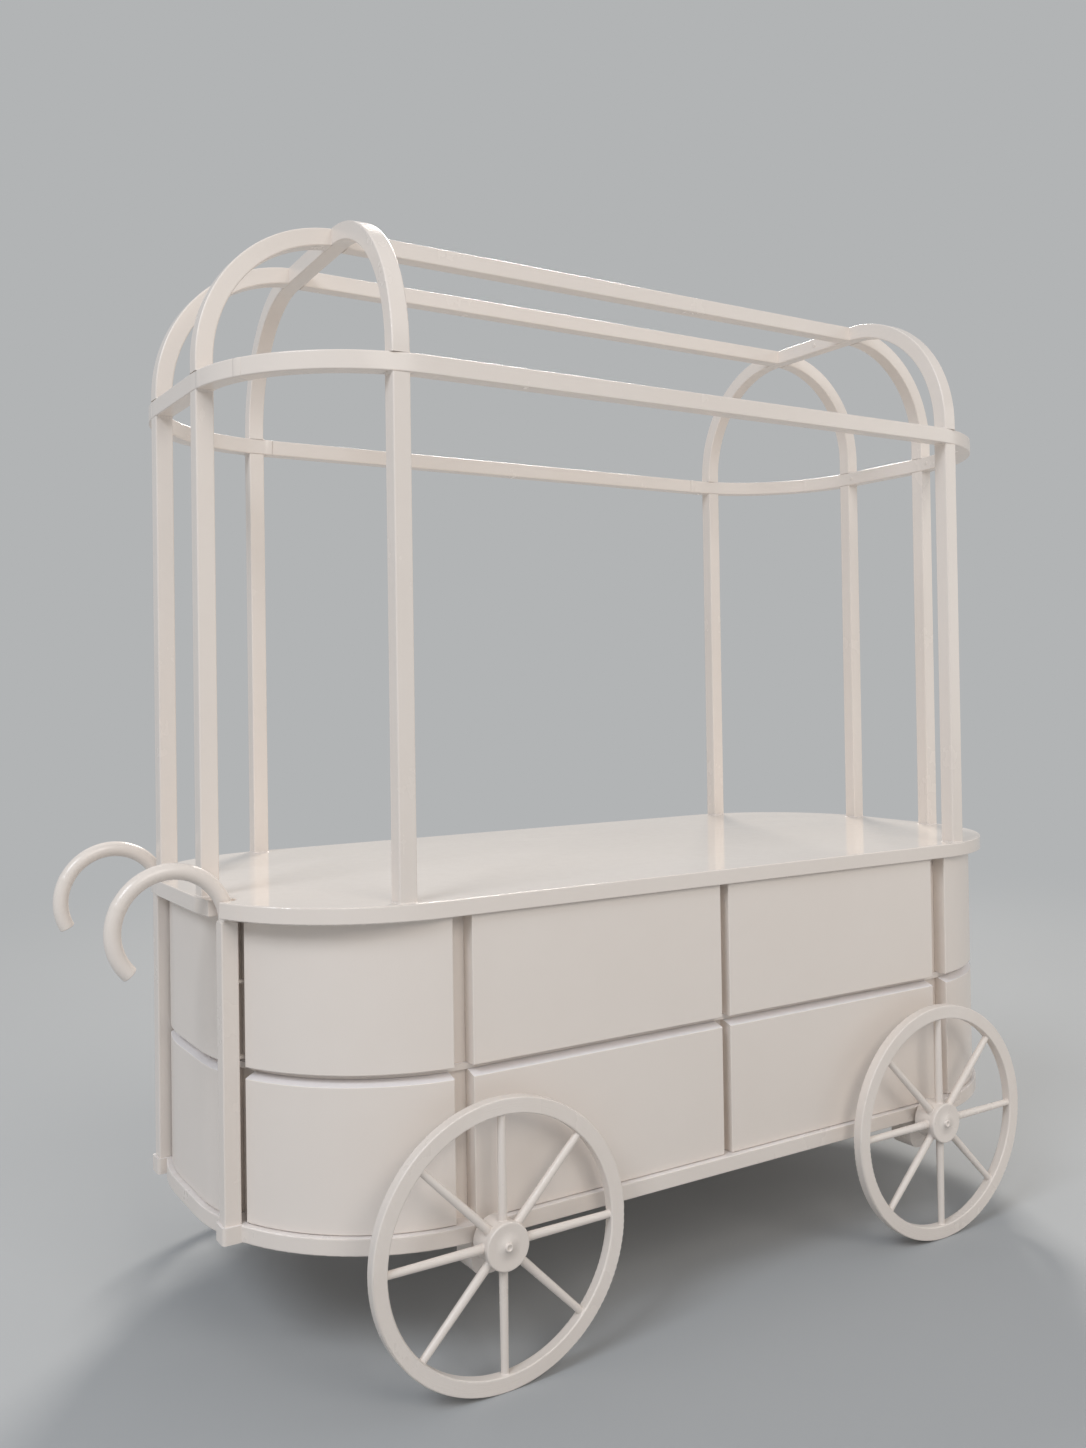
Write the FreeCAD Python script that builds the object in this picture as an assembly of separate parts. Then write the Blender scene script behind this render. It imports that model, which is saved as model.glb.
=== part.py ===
"""White display cart: an oval cabinet on four spoked wheels under an open hooped canopy frame.

Sizes are in millimetres. X runs along the cart with the two pull hooks at -X, the near long side
is -Y and the floor is z = 0. The model is drawn about the middle of the worktop and is moved
along X as it is written out, so that the origin lies on the floor under the middle of the box
that holds the whole cart, hooks included.
"""
import FreeCAD, Part
import math
import os

V = FreeCAD.Vector
X_AXIS = V(1, 0, 0)
Y_AXIS = V(0, 1, 0)
Z_AXIS = V(0, 0, 1)
CENTRE = V(0, 0, 0)

# Worktop.
worktop_top = 920.0
worktop_thickness = 33.0
worktop_half_length = 1060.0
worktop_half_width = 490.0
worktop_end_flat = 260.0
board_edge_round = 2.5

# Base board, by how far its edge lies inside or outside the worktop's. The cabinet's sides run
# parallel to it.
base_left_inset = 15.0
base_right_inset = 0.0
base_side_reach = 2.0
base_end_flat = 144.0
base_thickness = 33.0
axle_above_underside = 6.0

# Cabinet side: a wall, a band round it at half height and two rows of fascia panels. The lower
# row's top slopes up towards the band.
panel_setback = 12.0
right_panel_setback = 6.0
panel_thickness = 34.0
panel_seat = 0.3
panel_end_gap = 1.0
panel_edge_round = 2.0
wall_thickness = 18.0
row_gap_middle = 587.7
row_gap = 21.4
band_clearance = 0.7
band_recess = 26.0
ledge_rise = 8.0
centre_gap = 22.0
left_gap = 40.0
left_gap_past_bend = 3.0
right_gap = 52.0
right_gap_past_bend = 10.0

# Canopy frame of square tube.
tube = 37.0
tube_corner = 3.0
frame_setback = 7.0
post_height = 996.5
end_post_y = 140.0
hoop_radius = 300.0
hoop_foot = 14.0
arch_radius = 274.5
left_hoop_skew = 48.0

# Pull handles at the -X end: a square post on a tab of the base, then a round open hook.
handle_y = 220.0
handle_post = 34.0
handle_post_top = 876.0
handle_tab = 46.0
handle_tab_corner = 8.0
handle_end_gap = 6.0
handle_corner_gap = 12.0
spacer_radius = 4.5
spacer_gap = 1.0
lower_spacer_level = 615.0
upper_spacer_level = 760.0
hook_tube = 32.0
hook_radius = 108.0
near_hook_turn = 224.0
far_hook_turn = 208.0
hook_notch_gap = 2.0

# Wheels.
wheel_radius = 274.0
wheel_x = 603.0
wheel_gap = 10.0
rim_depth = 24.0
rim_width = 31.0
rim_edge = 3.0
spoke_count = 8
spoke_hub_radius = 9.0
spoke_rim_radius = 7.5
spoke_tenon_radius = 6.0
spoke_tenon_length = 10.0
socket_gap = 0.1
socket_end_gap = 1.0
shoulder_gap = 0.2
hub_radius = 44.0
hub_length = 48.0
cap_radius = 46.0
cap_thickness = 10.0
cap_bevel = 2.0
button_radius = 7.0
button_height = 4.0

# Stub axles and the blocks that back them under the base board.
axle_radius = 8.0
axle_gap = 0.05
axle_seat_depth = 60.0
axle_end_gap = 8.0
collar_radius = 20.0
collar_gap = 5.0
block_length = 72.0
block_width = 60.0
block_height = 72.0
block_setback = 12.0
block_corner = 28.0

# How far a cutter passes the faces that it cuts, and how near two points are the same point.
over = 1.0
same_point = 0.01

# Outlines: left reach, right reach, half width and corner radius. The third is the panels' front.
worktop_corner = worktop_half_width - worktop_end_flat / 2
base_left_length = worktop_half_length - base_left_inset
base_right_length = worktop_half_length - base_right_inset
base_half_width = worktop_half_width + base_side_reach
base_corner = base_half_width - base_end_flat / 2
worktop_outline = (worktop_half_length, worktop_half_length, worktop_half_width, worktop_corner)
base_outline = (base_left_length, base_right_length, base_half_width, base_corner)
cabinet_left_length = base_left_length - panel_setback
cabinet_right_length = base_right_length - right_panel_setback
cabinet_half_width = base_half_width - panel_setback
cabinet_corner = base_corner - panel_setback
cabinet_outline = (cabinet_left_length, cabinet_right_length, cabinet_half_width, cabinet_corner)

# Levels.
worktop_bottom = worktop_top - worktop_thickness
base_bottom = wheel_radius - axle_above_underside
base_top = base_bottom + base_thickness
ring_bottom = worktop_top + post_height
ring_middle = ring_bottom + tube / 2
ring_top = ring_bottom + tube
roof_level = ring_top + hoop_foot + hoop_radius

# Cabinet: the wall's inset from the panels' front, the centres of its corner arcs, and where the
# long sides' panels end.
wall_inset = panel_thickness + panel_seat
left_arc_x = cabinet_left_length - cabinet_corner
right_arc_x = cabinet_right_length - cabinet_corner
cabinet_arc_y = cabinet_half_width - cabinet_corner
left_panel_end = left_arc_x + left_gap_past_bend
right_panel_end = right_arc_x + right_gap_past_bend

# The ring runs parallel to the worktop's edge, and the posts stand under its middle line.
ring_radius = worktop_corner - frame_setback - tube / 2
ring_arc_x = worktop_half_length - worktop_corner
ring_arc_y = worktop_half_width - worktop_corner
ring_side_y = ring_arc_y + ring_radius
ring_end_x = ring_arc_x + ring_radius


def ring_y(x):
    """How far the ring's middle line lies from the cart's middle plane at a place along the cart."""
    return ring_arc_y + math.sqrt(ring_radius ** 2 - max(abs(x) - ring_arc_x, 0) ** 2)


def ring_x(y):
    return ring_arc_x + math.sqrt(ring_radius ** 2 - max(abs(y) - ring_arc_y, 0) ** 2)


end_post_x = ring_x(end_post_y)
side_post_x = end_post_x - arch_radius


def side_post_place(end, side):
    """Where a side post stands. The far left one stands nearer the middle, so its hoop is turned a little."""
    x = side_post_x
    if end < 0 and side > 0:
        x -= left_hoop_skew
    return V(end * x, side * ring_y(x), 0)


def hoop_x(end, y):
    """Where the hoop between two side posts crosses a line along the cart."""
    near = side_post_place(end, -1)
    far = side_post_place(end, 1)
    return near.x + (far.x - near.x) * (y - near.y) / (far.y - near.y)


# Handles, wheels and the whole.
handle_x = base_left_length - handle_tab / 2
hook_reach = handle_x + 2 * hook_radius + hook_tube / 2
origin_shift = (hook_reach - max(worktop_half_length, base_right_length)) / 2
hub_back_y = base_half_width + wheel_gap
wheel_face_y = hub_back_y + hub_length
rim_middle_y = wheel_face_y - rim_depth / 2
rim_inner_radius = wheel_radius - rim_width


def line(a, b):
    return Part.LineSegment(a, b).toShape()


def arc(a, middle, b):
    return Part.Arc(a, middle, b).toShape()


def bent_path(corners, radius):
    """A wire of straight runs through the corners, each inner corner rounded by a tangent arc."""
    edges = []
    last = corners[0]
    for before, corner, after in zip(corners, corners[1:], corners[2:]):
        back = (before - corner).normalize()
        ahead = (after - corner).normalize()
        half = back.getAngle(ahead) / 2
        run = radius / math.tan(half)
        bisector = (back + ahead).normalize()
        middle = corner + bisector * (radius / math.sin(half) - radius)
        start = corner + back * run
        end = corner + ahead * run
        if last.distanceToPoint(start) > same_point:
            edges.append(line(last, start))
        edges.append(arc(start, middle, end))
        last = end
    if last.distanceToPoint(corners[-1]) > same_point:
        edges.append(line(last, corners[-1]))
    return Part.Wire(edges)


def rounded_rectangle(centre, u, v, width, height, corner):
    """A face: a rectangle in the plane of the unit vectors u and v, with round corners."""
    a = u * (width / 2)
    b = v * (height / 2)
    corners = [centre - b, centre + a - b, centre + a + b, centre - a + b, centre - a - b, centre - b]
    return Part.Face(bent_path(corners, corner))


def tube_along(path, start, direction, side):
    """Square tube, drawn solid, along a path that lies in one plane; side is that plane's normal."""
    section = rounded_rectangle(start, side, direction.cross(side), tube, tube, tube_corner)
    return path.makePipeShell([section.OuterWire], True, False)


def straight_tube(start, end, side, size):
    direction = (end - start).normalize()
    section = rounded_rectangle(start, side, direction.cross(side), size, size, tube_corner)
    return section.extrude(end - start)


def mirrored_y(shape):
    return shape.mirror(CENTRE, Y_AXIS)


def mirrored_x(shape):
    return shape.mirror(CENTRE, X_AXIS)


def box(x0, x1, y0, y1, z0, z1):
    return Part.makeBox(x1 - x0, y1 - y0, z1 - z0, V(x0, y0, z0))


def rounded_outline(outline, inset, level):
    """The closed wire of an outline, moved in by inset, at a level."""
    left, right, half_width, corner = outline
    a = inset - left
    b = right - inset
    c = half_width - inset
    corners = [V(0, -c, level), V(b, -c, level), V(b, c, level), V(a, c, level), V(a, -c, level)]
    corners.append(corners[0])
    return bent_path(corners, corner - inset)


def plate(outline, inset, bottom, top):
    """A board of the rounded outline, moved in by inset, between two levels."""
    return Part.Face(rounded_outline(outline, inset, bottom)).extrude(V(0, 0, top - bottom))


def soft_edged(board):
    """The board with its upper and lower edges rounded."""
    edges = [e for e in board.Edges if abs(e.BoundBox.ZLength) < same_point]
    return board.makeFillet(board_edge_round, edges)


def band(outer_inset, inner_inset, bottom, top):
    """A wall that runs round the cabinet between two insets from the panels' front."""
    inside = plate(cabinet_outline, inner_inset, bottom - over, top + over)
    return plate(cabinet_outline, outer_inset, bottom, top).cut(inside)


def axle_bore(x, side, depth):
    """The hole for a stub axle, from outside the base board's edge to a depth inside it."""
    mouth = V(x, side * (base_half_width + over), wheel_radius)
    return Part.makeCylinder(axle_radius + axle_gap, depth + over, mouth, Y_AXIS * -side)


def base_board():
    """The floor of the cart, with a tab under each handle post and a bore for each stub axle."""
    board = soft_edged(plate(base_outline, 0, base_bottom, base_top))
    bores = []
    for side in (-1, 1):
        middle = V(-handle_x, side * handle_y, base_bottom)
        tab = rounded_rectangle(middle, X_AXIS, Y_AXIS, handle_tab, handle_tab, handle_tab_corner)
        board = board.fuse(tab.extrude(V(0, 0, base_thickness)))
        for x in (-wheel_x, wheel_x):
            bores.append(axle_bore(x, side, axle_seat_depth))
    return board.cut(bores).removeSplitter()


def hook_notch(y):
    """A slot with a round inner end, from outside the worktop's -X edge in to where a hook rises."""
    radius = hook_tube / 2 + hook_notch_gap
    rise = worktop_bottom - handle_post_top
    lean = hook_radius - math.sqrt(hook_radius ** 2 - rise ** 2)
    x = -handle_x - lean
    outside = -worktop_half_length - over
    low = worktop_bottom - over
    a = V(x, y - radius, low)
    b = V(x, y + radius, low)
    near = V(outside, y - radius, low)
    far = V(outside, y + radius, low)
    edges = [line(near, a), arc(a, V(x + radius, y, low), b), line(b, far), line(far, near)]
    return Part.Face(Part.Wire(edges)).extrude(V(0, 0, worktop_thickness + 2 * over))


def worktop():
    """The counter, with a notch in its edge where each hook rises past it."""
    board = plate(worktop_outline, 0, worktop_bottom, worktop_top)
    return soft_edged(board.cut([hook_notch(-handle_y), hook_notch(handle_y)]))


def corner_wedge(end, angle_from, angle_to, bottom, top):
    """A wedge about a near corner arc's centre; angles run from the end's direction towards -Y."""
    arc_x = -left_arc_x if end < 0 else right_arc_x
    points = [V(arc_x, -cabinet_arc_y, bottom)]
    for angle in (angle_from, angle_to):
        points.append(points[0] + V(end * math.cos(angle), -math.sin(angle), 0) * 2 * cabinet_corner)
    points.append(points[0])
    return Part.Face(Part.makePolygon(points)).extrude(V(0, 0, top - bottom))


def handle_gap_angles():
    """Where the fascia stops on either side of a handle post, as angles on the corner arc. The corner
    panel clears the post and, at its back, the spacers that run past it along X."""
    out = handle_x - left_arc_x
    half = handle_post / 2
    end_side = math.atan2(handle_y - half - cabinet_arc_y, out) - handle_end_gap / cabinet_corner
    past_post = math.atan2(handle_y + half - cabinet_arc_y, out) + handle_corner_gap / cabinet_corner
    back = cabinet_corner - panel_thickness
    past_spacer = math.asin((handle_y + spacer_radius + spacer_gap - cabinet_arc_y) / back)
    return end_side, max(past_post, past_spacer)


def distance_to_arcs(p):
    """How far a point lies from the line through the centres of the cabinet's corner arcs."""
    dx = max(p.x - right_arc_x, -left_arc_x - p.x, 0)
    dy = max(abs(p.y) - cabinet_arc_y, 0)
    return math.hypot(dx, dy)


def rounded_front(panel):
    """The panel with the edges of its front face rounded."""
    edges = []
    for edge in panel.Edges:
        first, last = edge.ParameterRange
        places = [edge.valueAt(first + (last - first) * t) for t in (0.0, 0.5, 1.0)]
        on_front = all(abs(distance_to_arcs(p) - cabinet_corner) < same_point for p in places)
        upright = edge.BoundBox.ZLength > same_point
        at_tangent = min(abs(places[0].x - right_arc_x), abs(places[0].x + left_arc_x),
                         abs(abs(places[0].y) - cabinet_arc_y)) < same_point
        if on_front and not (upright and at_tangent):
            edges.append(edge)
    return panel.makeFillet(panel_edge_round, edges)


def fascia_row(bottom, top, rise):
    """One row of fascia panels, parted at the gaps, keyed by place. Its top may slope up inwards by rise."""
    body = plate(cabinet_outline, 0, bottom, top)
    if rise > 0:
        edge = rounded_outline(cabinet_outline, 0, top)
        ledge = rounded_outline(cabinet_outline, band_recess, top + rise)
        body = body.fuse(Part.makeLoft([edge, ledge], True, True))
    low = bottom - over
    high = top + rise + over
    row = body.cut(plate(cabinet_outline, panel_thickness, low, high))
    reach = cabinet_half_width + over
    left = -left_panel_end
    right = right_panel_end
    gaps = [box(-centre_gap / 2, centre_gap / 2, -reach, reach, low, high)]
    gaps.append(box(left - left_gap, left, -reach, reach, low, high))
    gaps.append(box(right, right + right_gap, -reach, reach, low, high))
    for end in (-1, 1):
        wedge = corner_wedge(end, *handle_gap_angles(), low, high)
        gaps += [wedge, mirrored_y(wedge)]
    panels = {"near": [], "far": [], "left": [], "right": [], "left_end": [], "right_end": []}
    for panel in row.cut(gaps).Solids:
        middle = panel.BoundBox.Center
        place = "near" if middle.y < 0 else "far"
        if middle.x < left or middle.x > right:
            place = "left" if middle.x < 0 else "right"
            place += "_end" if abs(middle.y) < over else ""
        panels[place].append(rounded_front(panel))
    return panels


def posts(places):
    """Square posts that stand on the worktop at each place and carry the ring."""
    foot = V(0, 0, worktop_top)
    head = V(0, 0, ring_bottom)
    return Part.makeCompound([straight_tube(p + foot, p + head, X_AXIS, tube) for p in places])


def ring_bow():
    """The -X end of the ring: two corner bends and the short straight end."""
    corners = [V(-ring_arc_x, -ring_side_y, ring_middle), V(-ring_end_x, -ring_side_y, ring_middle)]
    corners += [V(-ring_end_x, ring_side_y, ring_middle), V(-ring_arc_x, ring_side_y, ring_middle)]
    return tube_along(bent_path(corners, ring_radius), corners[0], X_AXIS * -1, Z_AXIS)


def ring_rail():
    start = V(-ring_arc_x, -ring_side_y, ring_middle)
    return straight_tube(start, V(ring_arc_x, -ring_side_y, ring_middle), Z_AXIS, tube)


def cross_hoop(end):
    """The hoop over a pair of side posts: foot, bend, crossbar, bend, foot."""
    near = side_post_place(end, -1)
    far = side_post_place(end, 1)
    foot = V(0, 0, ring_top)
    top = V(0, 0, roof_level)
    corners = [near + foot, near + top, far + top, far + foot]
    across = (far - near).normalize().cross(Z_AXIS)
    return tube_along(bent_path(corners, hoop_radius), corners[0], Z_AXIS, across)


def hoop_slab(end):
    """The upright slab that a hoop's tube lies in, for trimming what butts against it."""
    near = side_post_place(end, -1)
    far = side_post_place(end, 1)
    along = (far - near).normalize()
    out = along.cross(Z_AXIS) * (tube / 2)
    points = [near - along * tube - out, far + along * tube - out, far + along * tube + out]
    points += [near - along * tube + out, near - along * tube - out]
    slab = Part.Face(Part.makePolygon(points)).extrude(V(0, 0, roof_level))
    return slab.translated(V(0, 0, tube))


def end_arch(end, side):
    """The bend from an end post up to the side of the cross hoop."""
    y = side * end_post_y
    inner = hoop_x(end, y)
    corners = [V(end * end_post_x, y, ring_top), V(end * end_post_x, y, roof_level), V(inner, y, roof_level)]
    arch = tube_along(bent_path(corners, end_post_x - abs(inner)), corners[0], Z_AXIS, Y_AXIS)
    return arch.cut(hoop_slab(end))


def ridge_rail(side):
    y = side * end_post_y
    start = V(hoop_x(-1, y), y, roof_level)
    rail = straight_tube(start, V(hoop_x(1, y), y, roof_level), Z_AXIS, tube)
    return rail.cut([hoop_slab(-1), hoop_slab(1)])


def handle_post_solid():
    foot = V(-handle_x, -handle_y, base_top)
    return straight_tube(foot, V(-handle_x, -handle_y, handle_post_top), X_AXIS, handle_post)


def handle_spacers():
    """Short round spacers that hold a post off the curved cabinet wall."""
    start = -handle_x + handle_post / 2
    made = []
    for z in (lower_spacer_level, upper_spacer_level):
        peg = Part.makeCylinder(spacer_radius, base_corner, V(start, -handle_y, z), X_AXIS)
        made.append(peg.cut(plate(cabinet_outline, panel_thickness, z - handle_post, z + handle_post)))
    return made


def hook(turn):
    """A round tube bent through more than half a turn, from the post's head out and down."""
    start = V(-handle_x, -handle_y, handle_post_top)
    section = Part.Face(Part.Wire(Part.makeCircle(hook_tube / 2, start, Z_AXIS)))
    centre = start - V(hook_radius, 0, 0)
    return section.revolve(centre, Y_AXIS * -1, turn)


def stub_axle(x):
    """A pin seated in the edge of the base board, with a collar that keeps the wheel off it."""
    length = axle_seat_depth + wheel_face_y - axle_end_gap - base_half_width
    seat = V(x, -base_half_width + axle_seat_depth, wheel_radius)
    pin = Part.makeCylinder(axle_radius, length, seat, Y_AXIS * -1)
    edge = V(x, -base_half_width, wheel_radius)
    collar = Part.makeCylinder(collar_radius, hub_back_y - collar_gap - base_half_width, edge, Y_AXIS * -1)
    return pin.fuse(collar).removeSplitter()


def axle_block(x):
    """A block with round lower corners under the base board, grooved where the stub axle lies."""
    half = block_length / 2
    low = base_bottom - block_height
    front = -base_half_width + block_setback
    corners = [V(x - half, front, base_bottom), V(x - half, front, low), V(x + half, front, low)]
    corners.append(V(x + half, front, base_bottom))
    edges = bent_path(corners, block_corner).Edges + [line(corners[-1], corners[0])]
    block = Part.Face(Part.Wire(edges)).extrude(V(0, block_width, 0))
    return block.cut(axle_bore(x, -1, axle_seat_depth))


def spoke_axes(x):
    for i in range(spoke_count):
        turn = 2 * math.pi * i / spoke_count
        yield V(x, -rim_middle_y, wheel_radius), V(math.sin(turn), 0, math.cos(turn))


def turned(profile, centre, axis):
    """A closed profile of points turned once round the axis."""
    return Part.Face(Part.makePolygon(profile + [profile[0]])).revolve(centre, axis, 360)


def socket(centre, out, start):
    """The blind hole for a spoke's tenon; it begins at a distance from the wheel's middle."""
    length = spoke_tenon_length + socket_end_gap + over
    return Part.makeCylinder(spoke_tenon_radius + socket_gap, length, centre + out * start, out)


def rim(x):
    """The round rim with softened edges and a blind socket for each spoke."""
    middle = V(x, -rim_middle_y, rim_width / 2)
    section = rounded_rectangle(middle, Z_AXIS, Y_AXIS, rim_width, rim_depth, rim_edge)
    ring = section.revolve(V(x, 0, wheel_radius), Y_AXIS, 360)
    return ring.cut([socket(centre, out, rim_inner_radius - over) for centre, out in spoke_axes(x)])


def spokes(x):
    """Tapered dowels with a tenon at each end, shoulder against the hub and against the rim."""
    made = []
    inner = hub_radius + shoulder_gap
    outer = rim_inner_radius - shoulder_gap
    for centre, out in spoke_axes(x):
        shaft = Part.makeCone(spoke_hub_radius, spoke_rim_radius, outer - inner, centre + out * inner, out)
        length = outer - inner + 2 * spoke_tenon_length
        tenon = Part.makeCylinder(spoke_tenon_radius, length, centre + out * (inner - spoke_tenon_length), out)
        made.append(shaft.fuse(tenon).removeSplitter())
    return Part.makeCompound(made)


def hub(x):
    """The drum that turns on the stub axle, with a blind socket for each spoke."""
    back = V(x, -hub_back_y, wheel_radius)
    drum = Part.makeCylinder(hub_radius, hub_length, back, Y_AXIS * -1)
    bore = Part.makeCylinder(axle_radius + axle_gap, hub_length + 2 * over, back + V(0, over, 0), Y_AXIS * -1)
    start = hub_radius - spoke_tenon_length - socket_end_gap
    return drum.cut([bore] + [socket(centre, out, start) for centre, out in spoke_axes(x)])


def hub_cap(x):
    """The round plate on the hub's face, with a bevelled edge and a small domed button."""
    face = wheel_face_y
    front = face + cap_thickness
    dome_radius = (button_radius ** 2 + button_height ** 2) / (2 * button_height)
    profile = [V(x, -face, wheel_radius), V(x + cap_radius, -face, wheel_radius)]
    profile.append(V(x + cap_radius, -front + cap_bevel, wheel_radius))
    profile.append(V(x + cap_radius - cap_bevel, -front, wheel_radius))
    profile.append(V(x, -front, wheel_radius))
    disc = turned(profile, V(x, 0, wheel_radius), Y_AXIS)
    ball = Part.makeSphere(dome_radius, V(x, -front + dome_radius - button_height, wheel_radius))
    outside = Part.makeCylinder(cap_radius, button_height + over, V(x, -front, wheel_radius), Y_AXIS * -1)
    return disc.fuse(ball.common(outside)).removeSplitter()


def export(name, shape):
    moved = shape.copy()
    moved.translate(V(origin_shift, 0, 0))
    moved.exportStep("parts/" + name + ".step")


def build_body():
    export("base_board", base_board())
    export("worktop", worktop())
    export("cabinet_wall", band(wall_inset, wall_inset + wall_thickness, base_top, worktop_bottom))
    lower_top = row_gap_middle - row_gap / 2
    upper_bottom = row_gap_middle + row_gap / 2
    low = lower_top + ledge_rise + band_clearance
    export("middle_band", band(band_recess, panel_thickness, low, upper_bottom - band_clearance))
    rows = {"lower": fascia_row(base_top + panel_end_gap, lower_top, ledge_rise),
            "upper": fascia_row(upper_bottom, worktop_bottom - panel_end_gap, 0)}
    for row, panels in rows.items():
        for side in ("near", "far"):
            export(side + "_" + row + "_panels", Part.makeCompound(panels[side]))
        for end in ("left", "right"):
            export(end + "_" + row + "_corners", Part.makeCompound(panels[end]))
    for end in ("left_end", "right_end"):
        export(end + "_panels", Part.makeCompound(rows["lower"][end] + rows["upper"][end]))


def build_canopy():
    for side_name, side in (("near", -1), ("far", 1)):
        export(side_name + "_side_posts", posts([side_post_place(end, side) for end in (-1, 1)]))
        export(side_name + "_ridge_rail", ridge_rail(side))
    for end_name, end in (("left", -1), ("right", 1)):
        export(end_name + "_end_posts", posts([V(end * end_post_x, y, 0) for y in (-end_post_y, end_post_y)]))
        export(end_name + "_cross_hoop", cross_hoop(end))
        export(end_name + "_end_arches", Part.makeCompound([end_arch(end, -1), end_arch(end, 1)]))
    export("left_ring_bow", ring_bow())
    export("right_ring_bow", mirrored_x(ring_bow()))
    export("near_ring_rail", ring_rail())
    export("far_ring_rail", mirrored_y(ring_rail()))


def build_handles():
    export("near_handle_post", handle_post_solid())
    export("far_handle_post", mirrored_y(handle_post_solid()))
    export("near_hook", hook(near_hook_turn))
    export("far_hook", mirrored_y(hook(far_hook_turn)))
    near = handle_spacers()
    export("handle_spacers", Part.makeCompound(near + [mirrored_y(peg) for peg in near]))


def build_running_gear():
    axles = []
    blocks = []
    for end, x in (("left", -wheel_x), ("right", wheel_x)):
        pieces = {"rim": rim(x), "spokes": spokes(x), "hub": hub(x), "hub_cap": hub_cap(x)}
        for piece, shape in pieces.items():
            export("near_" + end + "_" + piece, shape)
            export("far_" + end + "_" + piece, mirrored_y(shape))
        axles += [stub_axle(x), mirrored_y(stub_axle(x))]
        blocks += [axle_block(x), mirrored_y(axle_block(x))]
    export("stub_axles", Part.makeCompound(axles))
    export("axle_blocks", Part.makeCompound(blocks))


os.makedirs("parts", exist_ok=True)
build_body()
build_canopy()
build_handles()
build_running_gear()
print("origin shift", round(origin_shift, 3), "handle x", round(handle_x, 3))
print("end posts x", round(end_post_x, 2), "side posts", round(side_post_x, 2), round(ring_y(side_post_x), 2))
print("ring", round(ring_bottom, 2), "to", round(ring_top, 2), "roof top", round(roof_level + tube / 2, 2))
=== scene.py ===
# %% [markdown]
# # A white display cart, dressed for a photograph
#
# The cart is an oval cabinet on four spoked wheels under an open frame of bent square tube.
# Its solids come ready made: every board, tube and spoke is already the right size and in the
# right place. What is added here is the part that a drawing leaves out: paint with a skin, the
# ground-back welds of the frame, caulk where posts meet the counter, paint gathered round each
# spoke, screw heads, and light.
#
# Lengths are in metres. X runs along the cart, the two pull hooks are at -X, the near side is
# -Y, and the floor is z = 0.

# %% Load the solids
import math

import bmesh
import bpy
import numpy as np
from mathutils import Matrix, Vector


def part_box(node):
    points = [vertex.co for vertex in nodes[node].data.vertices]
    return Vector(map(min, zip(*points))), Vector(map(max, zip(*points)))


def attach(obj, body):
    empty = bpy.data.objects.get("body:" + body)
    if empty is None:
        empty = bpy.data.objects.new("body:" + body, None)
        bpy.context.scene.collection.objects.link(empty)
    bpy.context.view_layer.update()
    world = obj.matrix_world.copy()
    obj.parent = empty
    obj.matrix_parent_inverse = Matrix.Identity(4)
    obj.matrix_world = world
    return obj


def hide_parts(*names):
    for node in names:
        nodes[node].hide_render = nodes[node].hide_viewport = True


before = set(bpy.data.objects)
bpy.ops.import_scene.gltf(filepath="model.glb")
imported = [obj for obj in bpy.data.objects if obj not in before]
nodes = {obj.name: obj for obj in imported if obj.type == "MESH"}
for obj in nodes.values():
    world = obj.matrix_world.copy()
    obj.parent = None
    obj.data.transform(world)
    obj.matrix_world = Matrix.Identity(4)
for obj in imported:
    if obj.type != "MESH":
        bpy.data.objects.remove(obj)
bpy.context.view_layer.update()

# %% [markdown]
# ## The camera
#
# A picture's viewpoint can be found by matching known corners of the object to where they fall
# in the picture. That gives a place, three turning angles and a focal length in pixels. The
# turns are yaw (round the upright axis), pitch (nose up) and roll (lean). The lens shift moves
# the picture's middle up or down without tilting the camera, so that upright posts stay upright.

# %% Place the camera
PICTURE_HEIGHT = 1448
YAW = 0.5620456
PITCH = 0.0128414
ROLL = -0.0148593
FOCAL_PIXELS = 1285.31
MIDDLE_ROW = 673.31
CAMERA_PLACE = (-1.7264, -2.6470, 1.3153)
SENSOR = 36.0


def camera_axes(yaw, pitch, roll):
    """Right, up and back. Forward is level north turned by yaw and lifted by pitch, and roll turns
    right and up about it."""
    level = np.array([math.sin(yaw), math.cos(yaw), 0.0])
    side = np.array([math.cos(yaw), -math.sin(yaw), 0.0])
    upright = np.array([0.0, 0.0, 1.0])
    ahead = level * math.cos(pitch) + upright * math.sin(pitch)
    top = upright * math.cos(pitch) - level * math.sin(pitch)
    right = side * math.cos(roll) + top * math.sin(roll)
    up = top * math.cos(roll) - side * math.sin(roll)
    return right, up, -ahead


camera_data = bpy.data.cameras.new("camera")
camera = bpy.data.objects.new("camera", camera_data)
bpy.context.scene.collection.objects.link(camera)
stance = np.eye(4)
stance[:3, 0], stance[:3, 1], stance[:3, 2] = camera_axes(YAW, PITCH, ROLL)
stance[:3, 3] = CAMERA_PLACE
camera.matrix_world = stance.T.tolist()
camera_data.sensor_fit = "VERTICAL"
camera_data.sensor_height = SENSOR
camera_data.lens = FOCAL_PIXELS * SENSOR / PICTURE_HEIGHT
camera_data.shift_y = (MIDDLE_ROW - PICTURE_HEIGHT / 2) / PICTURE_HEIGHT
bpy.context.scene.camera = camera
bpy.context.scene.view_settings.view_transform = "Standard"
print("lens", round(camera_data.lens, 2), "mm, shift", round(camera_data.shift_y, 4))

# %% [markdown]
# ## Shapes from formulas
#
# Every piece made here is a sheet of points worked out by a formula of two parameters: one
# runs along a row, the other from row to row. All the points are worked out at once, as whole
# arrays, and one small helper joins neighbours into four-cornered faces. A direction that comes
# back to its start is wrapped, so the piece closes without a seam. If the faces come out pointing
# inwards, the volume they enclose is negative, and the next helper turns them all round.

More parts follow.
